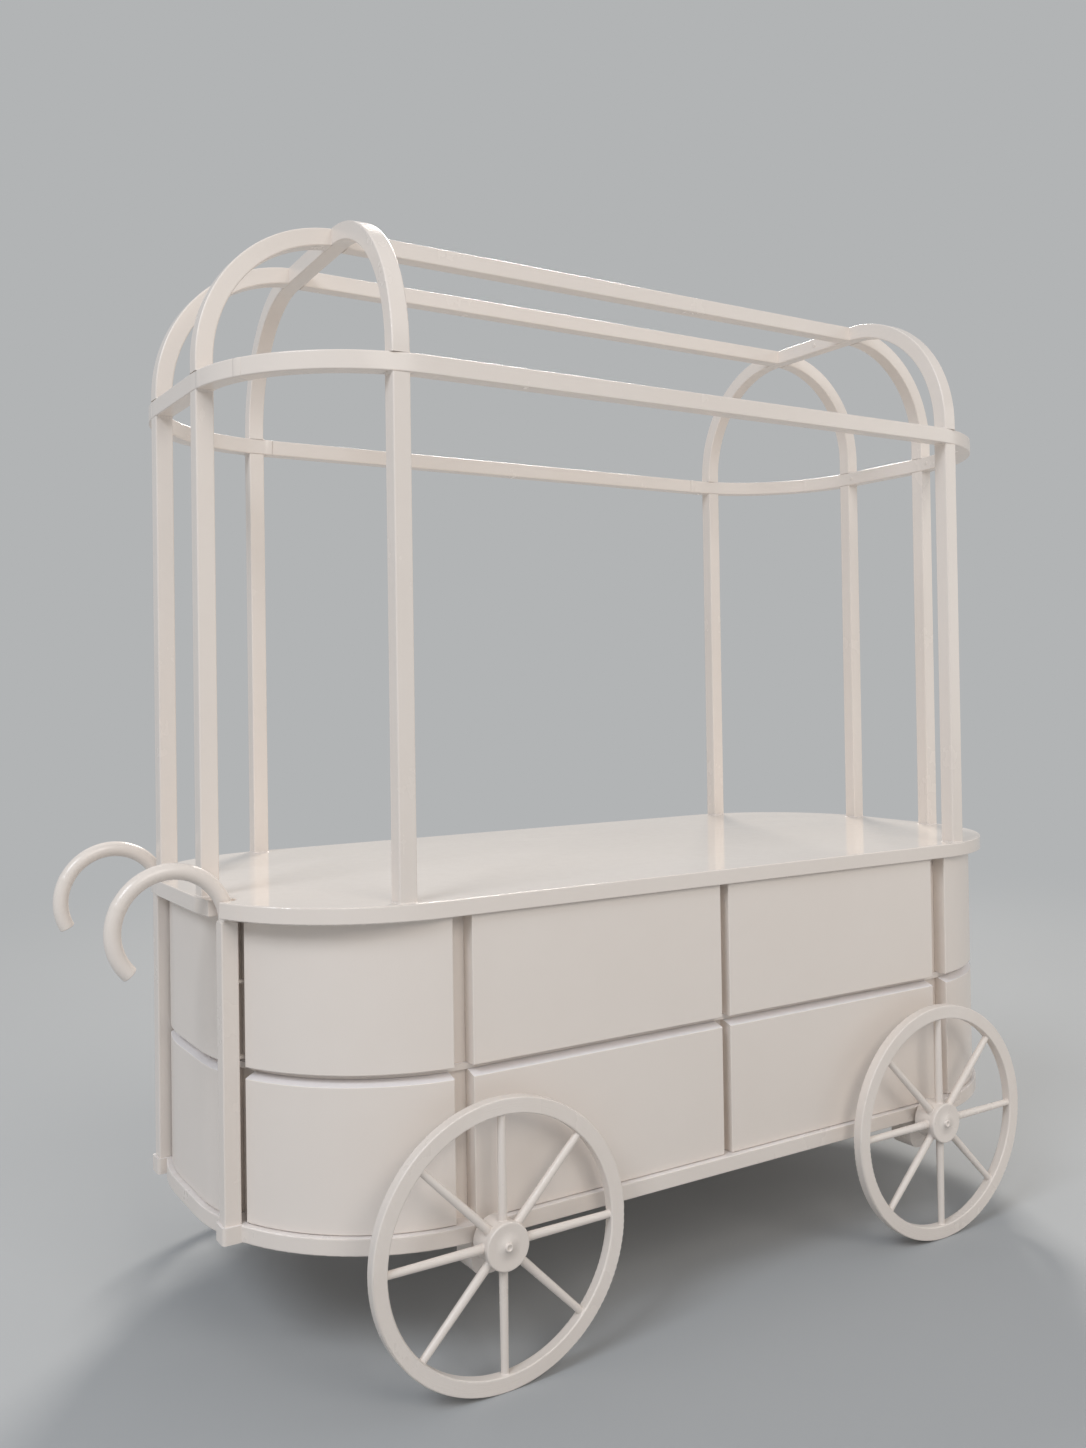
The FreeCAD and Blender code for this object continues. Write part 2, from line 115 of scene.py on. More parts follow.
# %% Helpers that join the points of a sheet
def sheet_faces(rows, columns, wrap_rows):
    """Corner numbers of the faces between neighbouring points. Columns always wrap, rows may."""
    r = np.arange(rows if wrap_rows else rows - 1)[:, None]
    c = np.arange(columns)[None, :]
    below = (r + 1) % rows
    beside = (c + 1) % columns
    corners = (r * columns + c, below * columns + c, below * columns + beside, r * columns + beside)
    return np.stack(np.broadcast_arrays(*corners), axis=-1).reshape(-1, 4)


def enclosed_volume(points, quads):
    """Each face is two triangles, and each triangle adds a sixth of its corners' box product."""
    a, b, c, d = (points[quads[:, k]] for k in range(4))
    return (np.einsum("ij,ij", a, np.cross(b, c)) + np.einsum("ij,ij", a, np.cross(c, d))) / 6


print("a sheet of 3 by 4 points has", len(sheet_faces(3, 4, False)), "faces")

# %% Helpers that make a piece and copy it to its places
MERGE = 1e-6


def piece(name, sheets, body, wrap_rows=True):
    """One object from equal sheets, shape (count, rows, columns, 3), that rides on a body."""
    count, rows, columns, _ = sheets.shape
    quads = sheet_faces(rows, columns, wrap_rows)
    first_sheet = sheets[0].reshape(-1, 3)
    if enclosed_volume(first_sheet - first_sheet.mean(axis=0), quads) < 0:
        quads = quads[:, ::-1]
    first = np.arange(count)[:, None, None] * rows * columns
    quads = (quads[None] + first).reshape(-1, 4)
    mesh = bpy.data.meshes.new(name)
    mesh.from_pydata(sheets.reshape(-1, 3).tolist(), [], quads.tolist())
    work = bmesh.new()
    work.from_mesh(mesh)
    bmesh.ops.remove_doubles(work, verts=work.verts, dist=MERGE)
    closed = all(edge.is_manifold for edge in work.edges)
    work.to_mesh(mesh)
    work.free()
    mesh.polygons.foreach_set("use_smooth", np.ones(len(mesh.polygons), dtype=bool))
    made = bpy.data.objects.new(name, mesh)
    bpy.context.scene.collection.objects.link(made)
    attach(made, body)
    print(name, "copies", count, "faces", len(mesh.polygons), "closed", closed)
    return made


def set_down(sheet, places, across, along, out):
    """Copies of a sheet at places. A point's three numbers count along the copy's three unit vectors."""
    turn = np.stack(np.broadcast_arrays(across, along, out), axis=-2).astype(float)
    turn = np.broadcast_to(turn, (len(places), 3, 3))
    return np.einsum("rck,nkm->nrcm", sheet, turn) + np.asarray(places)[:, None, None, :]


beads = []


def on_frame(name, sheets, wrap_rows=True):
    """A piece in the frame's paint that stays where it is on the cart."""
    beads.append(piece(name, sheets, "cart", wrap_rows))


# %% [markdown]
# ## Where the frame's tubes meet
#
# The frame is square tube, and its joints tell how it was made. Each post stands on the counter
# in a thin line of caulk. Each hoop foot and post head is welded to the ring. The welds are
# ground flush on the two faces that line up with the ring's own, and keep a small hollow bead on
# the other two. One formula serves for all of them: a path that is a square with round corners,
# which is a small square's corner added to a circle, and a section that hollows from the post's
# face down to the board. The bead's size waves a little, as a hand leaves it.

# %% A bead that runs round a square post
TUBE = 0.037
TUBE_CORNER = 0.003
SQUARE_POINTS = 96
LOOP_POINTS = 160


def round_square(half, corner, count):
    """Points and their outward directions. A point is (half - corner) times the signs of its
    direction, plus corner times the direction."""
    turn = (np.arange(count) + 0.5) * 2 * np.pi / count
    out = np.stack([np.cos(turn), np.sin(turn)], axis=1)
    return (half - corner) * np.sign(out) + corner * out, out


def even_loop(points, out, count):
    """The same loop with its points spread evenly by length, so that a wave along it is even too."""
    closed = np.vstack([points, points[:1]])
    faces = np.vstack([out, out[:1]])
    walked = np.concatenate([[0], np.cumsum(np.linalg.norm(np.diff(closed, axis=0), axis=1))])
    want = np.linspace(0, walked[-1], count, endpoint=False)
    even = np.stack([np.interp(want, walked, closed[:, k]) for k in range(2)], axis=1)
    normal = np.stack([np.interp(want, walked, faces[:, k]) for k in range(2)], axis=1)
    return even, normal / np.linalg.norm(normal, axis=1, keepdims=True), want / walked[-1]


def hollow_bead(size, flush=1.0):
    """Section point = (1 - sin a, 1 - cos a) times the size: a quarter circle hollow between wall and
    floor, closed inside both. The size waves along the loop, and is multiplied by flush on the faces
    that look along the second axis."""
    path, out, share = even_loop(*round_square(TUBE / 2, TUBE_CORNER, SQUARE_POINTS), LOOP_POINTS)
    wave = 1 + 0.14 * np.sin(2 * np.pi * 9 * share) + 0.10 * np.sin(2 * np.pi * 23 * share + 1)
    wide = size * wave * (flush + (1 - flush) * np.abs(out[:, 0]) ** 6)
    a = np.linspace(0, np.pi / 2, 7)
    aside = np.concatenate([1 - np.sin(a), [-0.3, -0.3]])
    above = np.concatenate([1 - np.cos(a), [1.0, -0.15]])
    flat = path[:, None, :] + out[:, None, :] * (wide[:, None] * aside)[..., None]
    return np.concatenate([flat, (wide[:, None] * above)[..., None]], axis=-1)


caulk = hollow_bead(size=0.0028)
weld = hollow_bead(size=0.0045, flush=0.12)
print("bead sections", caulk.shape, weld.shape)

# %% [markdown]
# The beads need the middle of every post. A node holds two posts, and its box touches both of
# them, so each middle lies half a tube in from a corner of the box. On the far side the left
# post stands a little further out than the right one, so that pair lies on the other diagonal.

# %% Set the beads down
X = np.array([1.0, 0.0, 0.0])
Y = np.array([0.0, 1.0, 0.0])
Z = np.array([0.0, 0.0, 1.0])
COUNTER_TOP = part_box("worktop")[1][2]
RING_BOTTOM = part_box("near_ring_rail")[0][2]
RING_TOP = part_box("near_ring_rail")[1][2]


def post_places(node, split_x):
    """The middles of a node's two posts, from its box: apart along X, or apart along Y."""
    low, high = (np.array(corner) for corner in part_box(node))
    inner_low = low + TUBE / 2
    inner_high = high - TUBE / 2
    middle_x = (low[0] + high[0]) / 2
    if not split_x:
        return [(middle_x, inner_low[1]), (middle_x, inner_high[1])]
    if node.startswith("far"):
        return [(inner_low[0], inner_high[1]), (inner_high[0], inner_low[1])]
    return [(inner_low[0], inner_low[1]), (inner_high[0], inner_high[1])]


def at_level(places, level):
    return np.array([(x, y, level) for x, y in places])


side_posts = post_places("near_side_posts", True) + post_places("far_side_posts", True)
end_posts = post_places("left_end_posts", False) + post_places("right_end_posts", False)
print("side posts", np.round(side_posts, 4).tolist())
on_frame("post_foot_caulk", set_down(caulk, at_level(side_posts + end_posts, COUNTER_TOP), X, Y, Z))
WELDS = (
    ("side_post_head_welds", side_posts, X, RING_BOTTOM, -Z),
    ("end_post_head_welds", end_posts, Y, RING_BOTTOM, -Z),
    ("side_hoop_foot_welds", side_posts, X, RING_TOP, Z),
    ("end_hoop_foot_welds", end_posts, Y, RING_TOP, Z),
)
for name, places, along_ring, level, out in WELDS:
    across_ring = np.cross(out, along_ring)
    on_frame(name, set_down(weld, at_level(places, level), along_ring, across_ring, out))

# %% [markdown]
# ## Ground seams in the ring
#
# The ring was bent in lengths and butt welded. After grinding, each seam is a barely raised
# sleeve that the light catches. It could be painted on as a bump, but a real swelling keeps its
# highlight from every side. Its height is a bell that starts and ends a hair below the tube.

# %% Sleeves over the ring's butt joints
BOW_RADIUS = 0.3345
BOW_MIDDLE_X = 0.700
BOW_MIDDLE_Y = 0.130
SEAM_LENGTH = 0.020
SEAM_HEIGHT = 0.00045
SEAM_ANGLES = (-3.4, 63.0, 84.0)
SHIFT = (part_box("worktop")[0][0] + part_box("worktop")[1][0]) / 2
RING_MIDDLE = (RING_BOTTOM + RING_TOP) / 2
print("the cart's middle is at x", round(SHIFT, 4))


def seam_swell(long, proud):
    """Places along a seam and the outward steps there. The step is proud times (1 - u squared)
    squared, less a hair, and u goes from -1 to 1 over the length. The last two lie in the tube."""
    u = np.linspace(-1, 1, 13)
    step = proud * 1.25 * (1 - u ** 2) ** 2 - proud * 0.25
    along = np.concatenate([u, [0.9, -0.9]]) * long / 2
    return along, np.concatenate([step, [-0.0012, -0.0012]])


def seam_sleeve():
    """A round-cornered square pushed out by the swell, row by row along the tube."""
    along, step = seam_swell(SEAM_LENGTH, SEAM_HEIGHT)
    path, out = round_square(TUBE / 2, TUBE_CORNER, 64)
    flat = path[None] + out[None] * step[:, None, None]
    lengthways = np.broadcast_to(along[:, None, None], flat.shape[:2] + (1,))
    return np.concatenate([flat, lengthways], axis=-1)


def bow_seams(end):
    """Places and directions on a bow of the ring, at the seams' angles from the long side. The far
    half mirrors the near half."""
    turn = np.radians(np.array(SEAM_ANGLES))
    turn = np.concatenate([turn, turn])
    side = np.repeat([-1.0, 1.0], len(SEAM_ANGLES))
    out = np.stack([end * np.sin(turn), side * np.cos(turn), 0 * turn], axis=1)
    middle_x = SHIFT + end * BOW_MIDDLE_X + 0 * turn
    middle = np.stack([middle_x, side * BOW_MIDDLE_Y, RING_MIDDLE + 0 * turn], axis=1)
    return middle + out * BOW_RADIUS, out, np.cross(out, Z)


for name, end in (("left_ring_seams", -1), ("right_ring_seams", 1)):
    places, out, along = bow_seams(end)
    on_frame(name, set_down(seam_sleeve(), places, out, Z, along))

# %% [markdown]
# ## Screw heads
#
# A few cross-head screws pass through the ring and the hoops from inside, painted over with the
# rest. A screw head is small, but it is one of the things that gives an object its scale. The
# dome is a circle's arc turned round, and the cross is two soft slots pressed into it.

# %% A domed cross-head screw
SCREW_RADIUS = 0.0052
SCREW_HEIGHT = 0.0022


def screw_head(radius, high):
    """Height over a disc: an arc, less a slot's depth times the larger of two flat-topped bells, one
    along each arm of the cross."""
    reach = np.sin(np.linspace(0, np.pi / 2, 15))[:, None] * radius
    turn = np.linspace(0, 2 * np.pi, 48, endpoint=False)[None, :]
    x = reach * np.cos(turn)
    y = reach * np.sin(turn)
    slot = 0.13 * radius
    arm = 0.60 * radius
    first = np.exp(-(x / slot) ** 4) * np.exp(-(y / arm) ** 8)
    second = np.exp(-(y / slot) ** 4) * np.exp(-(x / arm) ** 8)
    dome = high * np.sqrt(np.clip(1 - (reach / radius) ** 2 * 0.92, 0, 1))
    top = np.stack([x, y, dome - 0.55 * high * np.maximum(first, second)], axis=-1)
    foot = top[-1:] * [1, 1, 0] - [0, 0, 0.0006]
    return np.concatenate([top, foot, foot * [0, 0, 1]])


head = screw_head(SCREW_RADIUS, SCREW_HEIGHT)
print("screw head", head.shape)

# %% Set the screws
RING_SCREW_Y = (-0.178, 0.112)
HOOP_SCREW_Y = -0.024


def facing(places, out):
    """Two directions square to out and to each other, turned a little further from screw to screw."""
    out = np.asarray(out, dtype=float)
    level = np.cross(Z, out)
    spin = (np.arange(len(places)) * 0.7)[:, None]
    across = level * np.cos(spin) + Z * np.sin(spin)
    return across, np.cross(out, across), out


inner = BOW_RADIUS - TUBE / 2
screw_places = []
screw_out = []
for end in (-1, 1):
    for y in RING_SCREW_Y:
        lean = max(abs(y) - BOW_MIDDLE_Y, 0)
        reach = math.sqrt(inner ** 2 - lean ** 2)
        screw_places.append((SHIFT + end * (BOW_MIDDLE_X + reach), y, RING_MIDDLE))
        screw_out.append((-end * reach / inner, math.copysign(lean, -y) / inner, 0))
ring_screws = set_down(head, screw_places, *facing(screw_places, screw_out))
on_frame("ring_screws", ring_screws, wrap_rows=False)
hoop_low, hoop_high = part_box("right_cross_hoop")
hoop_screw = [(hoop_low[0], HOOP_SCREW_Y, hoop_high[2] - TUBE / 2)]
on_frame("hoop_screw", set_down(head, hoop_screw, *facing(hoop_screw, [(-1, 0, 0)])), wrap_rows=False)

# %% [markdown]
# ## The wheels
#
# The wheels are wood. The dowel spokes were glued into a round rim and a drum, and the paint has
# gathered in a small collar round each end. On the drum the collar's foot lies on a cylinder, so
# its height over the wheel's middle is found from the drum's radius, and in the rim from the rim's
# inner radius.

# %% Collars of paint at the spokes' ends
WHEEL_X = 0.603
WHEEL_Y = 0.538
WHEEL_RADIUS = 0.274
HUB_RADIUS = 0.044
RIM_INSIDE = 0.243
SPOKES = 8
SPOKE_AT_HUB = 0.0090
SPOKE_AT_RIM = 0.0075


def spoke_collar(dowel, curve_radius, size, upward):
    """Foot height = root of (curve_radius squared - offset squared), as on a drum that lies along the
    second axis. The hollow of the collar is added upwards or downwards from there."""
    a = np.linspace(0, np.pi / 2, 6)
    aside = np.concatenate([1 - np.sin(a), [-0.35, -0.35]]) * size
    above = np.concatenate([1 - np.cos(a), [1.0, -0.4]]) * size * (1 if upward else -1)
    turn = np.linspace(0, 2 * np.pi, 28, endpoint=False)
    ring = dowel + aside[:, None]
    x = ring * np.cos(turn)
    y = ring * np.sin(turn)
    z = np.sqrt(curve_radius ** 2 - x ** 2) + above[:, None]
    return np.stack([x, y, z], axis=-1)


def wheel_directions():
    """For each spoke: across it in the wheel's plane, along the axle, and outwards."""
    turn = np.arange(SPOKES) * 2 * np.pi / SPOKES
    out = np.stack([np.sin(turn), 0 * turn, np.cos(turn)], axis=1)
    return np.cross(Y, out), np.broadcast_to(Y, out.shape), out


hub_collar = spoke_collar(SPOKE_AT_HUB, HUB_RADIUS, size=0.0022, upward=True)
rim_collar = spoke_collar(SPOKE_AT_RIM, RIM_INSIDE, size=0.0020, upward=False)
print("collars", hub_collar.shape, rim_collar.shape)

# %% [markdown]
# The plain caps on the hubs are turned again here, with a softly rounded edge, a faintly hollow
# face and a domed bolt head, dished in its middle. A turned piece is a profile carried once round
# an axis, and the small arcs at its corners are what make it look turned and painted, not cut from
# paper.

# %% The profile of a cap
CAP_RADIUS = 0.046
CAP_THICK = 0.010
EDGE_ARC = 0.0030
BACK_ARC = 0.0008
BOLT_RADIUS = 0.0084
BOLT_ARC = 0.0022


def turned_profile(points, count=96):
    """A profile of (distance from the axis, height along it) turned once round: x = r cos t and
    y = r sin t."""
    r, h = (np.array(points)[:, k][:, None] for k in range(2))
    turn = np.linspace(0, 2 * np.pi, count, endpoint=False)[None, :]
    return np.stack([r * np.cos(turn), r * np.sin(turn), h + 0 * turn], axis=-1)


def arc_points(middle_r, middle_h, radius, start, end, count=7):
    """Points on a circle's arc, by angle from the outward direction towards the front."""
    turn = np.radians(np.linspace(start, end, count))
    return list(zip(middle_r + radius * np.cos(turn), middle_h + radius * np.sin(turn)))


def raised(*points):
    """Points given by their height over the cap's face."""
    return [(r, CAP_THICK + h) for r, h in points]


cap_profile = [(0, 0), (CAP_RADIUS - BACK_ARC, 0)]
cap_profile += arc_points(CAP_RADIUS - BACK_ARC, BACK_ARC, BACK_ARC, -90, 0, 4)
cap_profile += arc_points(CAP_RADIUS - EDGE_ARC, CAP_THICK - EDGE_ARC, EDGE_ARC, 0, 90)
cap_profile += raised((CAP_RADIUS - 0.006, -0.0002), (0.030, -0.0007), (0.0088, -0.0009))
cap_profile += raised((BOLT_RADIUS, 0.0))
cap_profile += arc_points(BOLT_RADIUS - BOLT_ARC, CAP_THICK + 0.0018, BOLT_ARC, 0, 90)
cap_profile += raised((0.0050, 0.0040), (0.0044, 0.0033), (0.0036, 0.0021), (0, 0.0020))
cap_sheet = turned_profile(cap_profile)
print("cap profile", len(cap_profile), "points")

# %% Collars and caps on the four wheels
CAP_OUT = 0.012
wheels = {}
for side, sign in (("near", -1.0), ("far", 1.0)):
    for end, x in (("left", SHIFT - WHEEL_X), ("right", SHIFT + WHEEL_X)):
        wheel = side + "_" + end
        body = wheel + "_wheel"
        middle = np.array([x, sign * WHEEL_Y, WHEEL_RADIUS])
        wheels[wheel] = middle
        spots = np.repeat(middle[None], SPOKES, axis=0)
        collars = [set_down(sheet, spots, *wheel_directions()) for sheet in (hub_collar, rim_collar)]
        piece(wheel + "_spoke_collars", np.concatenate(collars), body)
        face = [middle + [0, sign * CAP_OUT, 0]]
        turned = set_down(cap_sheet, face, X, -sign * Z, sign * Y)
        cap = piece(wheel + "_cap", turned, body, wrap_rows=False)
        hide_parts(wheel + "_hub_cap")

# %% [markdown]
# ## The pull hooks
#
# Each hook is a round tube that was welded upright on a square post and bent over in two lengths.
# Three small pieces tell that story. At the root, filler leads the square into the circle: the
# section is a superellipse, whose power falls from a near-square's to 2 on the way up. At the
# joint there is a ground sleeve again, and the open end is closed by a low plug. All three lie on
# the hook's middle line, which is an arc: place = centre + radius times (cos t, sin t).

# %% The middle line of a hook, and tube round it
HOOK_BEND = 0.108
HOOK_TUBE_RADIUS = 0.016
POST_HALF = 0.017
HOOK_TURNS = {"near": 224.0, "far": 208.0}


def on_hook(side, degrees):
    """Place, outward and forward directions on a hook's middle line, by the angle turned since
    the post."""
    low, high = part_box(side + "_handle_post")
    turn = np.radians(np.asarray(degrees, dtype=float))
    outward = np.stack([np.cos(turn), 0 * turn, np.sin(turn)], axis=-1)
    ahead = np.stack([-np.sin(turn), 0 * turn, np.cos(turn)], axis=-1)
    centre = np.array([(low[0] + high[0]) / 2 - HOOK_BEND, (low[1] + high[1]) / 2, high[2]])
    return centre + outward * HOOK_BEND, outward, ahead


def tube_on_hook(side, degrees, radius, turn):
    """Ring after ring round the middle line: place + radius times (cos t outward + sin t sideways)."""
    middle, outward, _ = on_hook(side, degrees)
    outwards = outward[:, None, :] * (radius * np.cos(turn))[..., None]
    return middle[:, None, :] + outwards + Y * (radius * np.sin(turn))[..., None]


print("hooks turn", HOOK_TURNS)

# %% Roots, joints and plugs of the hooks
ROOT_HEIGHT = 0.010
JOINT_AT = 153.0
JOINT_LENGTH = 0.018
JOINT_HEIGHT = 0.0004


def hook_root(side, high, count=72):
    """Radius at an angle = half width / (|cos|^n + |sin|^n)^(1/n). On the way up n falls from 16 to 2,
    and the half width from the post's to the tube's."""
    u = np.linspace(0, 1, 14)[:, None]
    n = 2 + 14 * (1 - u) ** 4
    half = POST_HALF + 0.0002 + (HOOK_TUBE_RADIUS - POST_HALF) * u
    turn = np.linspace(0, 2 * np.pi, count, endpoint=False)[None, :]
    radius = half / (np.abs(np.cos(turn)) ** n + np.abs(np.sin(turn)) ** n) ** (1 / n)
    inside = np.full((2, count), HOOK_TUBE_RADIUS - 0.0010)
    walked = np.concatenate([u[:, 0] * high, [high, -0.0010]])
    return tube_on_hook(side, np.degrees(walked / HOOK_BEND), np.concatenate([radius, inside]), turn)


def hook_joint(side, degrees, count=64):
    """The ring's seam again, bent round the hook: radius = the tube's + the swell."""
    along, step = seam_swell(JOINT_LENGTH, JOINT_HEIGHT)
    turn = np.linspace(0, 2 * np.pi, count, endpoint=False)[None, :]
    radius = HOOK_TUBE_RADIUS + step[:, None]
    return tube_on_hook(side, degrees + np.degrees(along / HOOK_BEND), radius, turn)


# The plug's back lies 0.6 mm inside the tube's end, and its face stands 2.4 mm proud of it.
plug_profile = [(0, -0.0006), (HOOK_TUBE_RADIUS - 0.0004, -0.0006)]
plug_profile += arc_points(HOOK_TUBE_RADIUS - 0.0022, 0.0002, 0.0018, 0, 90)
plug_profile += [(0.008, 0.0023), (0, 0.0024)]
plug = turned_profile(plug_profile, 64)
for side, whole in HOOK_TURNS.items():
    on_frame(side + "_hook_root", hook_root(side, ROOT_HEIGHT)[None])
    on_frame(side + "_hook_joint", hook_joint(side, JOINT_AT)[None])
    place, outward, ahead = on_hook(side, [whole])
    end_plug = set_down(plug, place, outward, np.cross(ahead, outward), ahead)
    on_frame(side + "_hook_plug", end_plug, wrap_rows=False)

# %% [markdown]
# ## Paint, in three layers of attention
#
# White paint is never one white. Looked at from far off, it is a little warmer in some places and
# cooler in others. From nearer, a roller, a brush or a spray gun has left its own skin. From
# nearest, hands and weather have dulled it in patches, and dust lies on the ledges. Each layer is
# a small group of nodes with named inputs, built once and used by every finish with its own
# numbers. Groups give out only what changes over the surface. What is the same all over, such as
# the refraction index, is set on the shader itself.

# %% Helpers for node groups
def new_group(name, inputs, outputs):
    """An empty group with named sockets. Inputs are (name, kind, starting value or None)."""
    group = bpy.data.node_groups.new(name, "ShaderNodeTree")
    for label, kind, value in inputs:
        socket = group.interface.new_socket(label, in_out="INPUT", socket_type="NodeSocket" + kind)
        if value is not None:
            socket.default_value = value
    for label, kind in outputs:
        group.interface.new_socket(label, in_out="OUTPUT", socket_type="NodeSocket" + kind)
    return group, group.nodes.new("NodeGroupInput"), group.nodes.new("NodeGroupOutput")


def feed(tree, socket, value):
    """Another node's output is linked to the socket, and anything else becomes its value."""
    if isinstance(value, bpy.types.NodeSocket):
        tree.links.new(value, socket)
    else:
        socket.default_value = value


def use_group(tree, group, **values):
    """A group placed in a tree. Names of sockets have _ for a space."""
    node = tree.nodes.new("ShaderNodeGroup")
    node.node_tree = group
    for key, value in values.items():
        feed(tree, node.inputs[key.replace("_", " ")], value)
    return node


print("groups so far", len(bpy.data.node_groups))

# %% Helpers for single nodes
def add(tree, kind, **settings):
    """A node with settings. A name is the node's own setting or a socket's, with _ for a space."""
    node = tree.nodes.new("ShaderNode" + kind)
    for key, value in settings.items():
        if hasattr(node, key):
            setattr(node, key, value)
            continue
        label = key.replace("_", " ")
        feed(tree, next(s for s in node.inputs if s.name == label or s.identifier == key), value)
    return node


def noise(tree, vector, scale, detail=3.0, roughness=0.5):
    node = add(tree, "TexNoise", Vector=vector, Scale=scale, Detail=detail, Roughness=roughness)
    return node.outputs["Fac"]


def maths(tree, operation, first, second=0.0):
    node = add(tree, "Math", operation=operation)
    feed(tree, node.inputs[0], first)
    feed(tree, node.inputs[1], second)
    return node.outputs[0]


def weighted(tree, first, first_weight, second, second_weight):
    """first times its weight plus second times its weight."""
    return maths(tree, "ADD", maths(tree, "MULTIPLY", first, first_weight),
                 maths(tree, "MULTIPLY", second, second_weight))


def remap(tree, value, low, high, to_low=0.0, to_high=1.0):
    node = add(tree, "MapRange", Value=value, From_Min=low, From_Max=high, To_Min=to_low, To_Max=to_high)
    return node.outputs["Result"]


def blend_colours(tree, factor, first, second):
    node = add(tree, "Mix", data_type="RGBA", Factor_Float=factor, A_Color=first, B_Color=second)
    return next(s for s in node.outputs if s.identifier == "Result_Color")


# %% Layer one: two tones of one white
tones, gin, gout = new_group(
    "two_tones",
    [("Vector", "Vector", None), ("Light", "Color", (0.8, 0.8, 0.8, 1)),
     ("Deep", "Color", (0.7, 0.7, 0.7, 1)), ("Patch Scale", "Float", 2.0)],
    [("Color", "Color"), ("Mask", "Float")])
vector = gin.outputs["Vector"]
broad = noise(tones, vector, gin.outputs["Patch Scale"], 4.0)
fine = noise(tones, vector, maths(tones, "MULTIPLY", gin.outputs["Patch Scale"], 11.0), 2.0)
mask = remap(tones, weighted(tones, broad, 0.86, fine, 0.14), 0.30, 0.70)
tones.links.new(mask, gout.inputs["Mask"])
tone = blend_colours(tones, mask, gin.outputs["Light"], gin.outputs["Deep"])
tones.links.new(tone, gout.inputs["Color"])
print("group", tones.name, "nodes", len(tones.nodes))

# %% [markdown]
# The skin of the paint is height, for a Bump node. A roller or a spray gun leaves a fine stipple,
# and a bent board or tube under it has slow waves that only show in its highlights. A brush leaves
# lines instead: the same noise, squeezed across the strokes. The group takes its coordinates from
# outside, so a material can wind them round a wheel.

# %% Layer two: the skin of the paint
skin, gin, gout = new_group(
    "paint_skin",
    [("Vector", "Vector", None), ("Stipple Scale", "Float", 420.0), ("Stipple", "Float", 0.5),
     ("Wave Scale", "Float", 9.0), ("Wave", "Float", 0.5)],
    [("Height", "Float")])
vector = gin.outputs["Vector"]
stipple = noise(skin, vector, gin.outputs["Stipple Scale"], 2.0, 0.6)
waves = noise(skin, vector, gin.outputs["Wave Scale"], 1.0, 0.3)
height = weighted(skin, stipple, gin.outputs["Stipple"], waves, gin.outputs["Wave"])
skin.links.new(height, gout.inputs["Height"])
print("group", skin.name, "nodes", len(skin.nodes))

# %% [markdown]
# Handling changes how dull the paint is: broad patches where it was wiped, with a few upright
# streaks. The same group finds the faces that look up, from the surface's normal. There the paint
# is painted paler and cooler as painted sky light, and dust lies in specks.

# %% Layer three: handling, dust, and the upward mask for painted sky light
STREAK_SCALE = (90.0, 90.0, 4.0)
wear, gin, gout = new_group(
    "handling",
    [("Vector", "Vector", None), ("Shiny", "Float", 0.25), ("Dull", "Float", 0.45)],
    [("Roughness", "Float"), ("Dust", "Float"), ("Upward", "Float")])
vector = gin.outputs["Vector"]
patches = noise(wear, vector, 5.0, 5.0, 0.6)
streaks = noise(wear, add(wear, "Mapping", Vector=vector, Scale=STREAK_SCALE).outputs[0], 1.0, 3.0)
mixed = weighted(wear, patches, 0.9, streaks, 0.1)
roughness = remap(wear, mixed, 0.35, 0.65, gin.outputs["Shiny"], gin.outputs["Dull"])
wear.links.new(roughness, gout.inputs["Roughness"])
normal = add(wear, "NewGeometry").outputs["Normal"]
lying = remap(wear, add(wear, "SeparateXYZ", Vector=normal).outputs["Z"], 0.55, 0.95)
specks = remap(wear, noise(wear, vector, 38.0, 6.0, 0.7), 0.42, 0.68)
wear.links.new(maths(wear, "MULTIPLY", lying, specks), gout.inputs["Dust"])
wear.links.new(lying, gout.inputs["Upward"])
print("group", wear.name, "nodes", len(wear.nodes))

# %% [markdown]
# ## The finishes
#
# One function places the three groups in a material and joins them to its shader. Each finish is
# then a short list of numbers: the counter is lacquer with hardly any stipple, the cabinet was
# rolled, the frame was sprayed, and the wheels were brushed. The cabinet's panels have a sloping
# ledge along the top. It shows as a paler line because faces that look up are painted paler and
# cooler, as painted sky light.

# %% One function for every white finish
WARM_WHITE = (0.805, 0.735, 0.676, 1)
DEEP_WHITE = (0.772, 0.696, 0.632, 1)
# Painted sky light: a paler, cooler white that is painted onto faces that look up.
SKY_LIT_WHITE = (0.860, 0.835, 0.845, 1)
DUST = (0.560, 0.480, 0.400, 1)
PAINT_IOR = 1.5


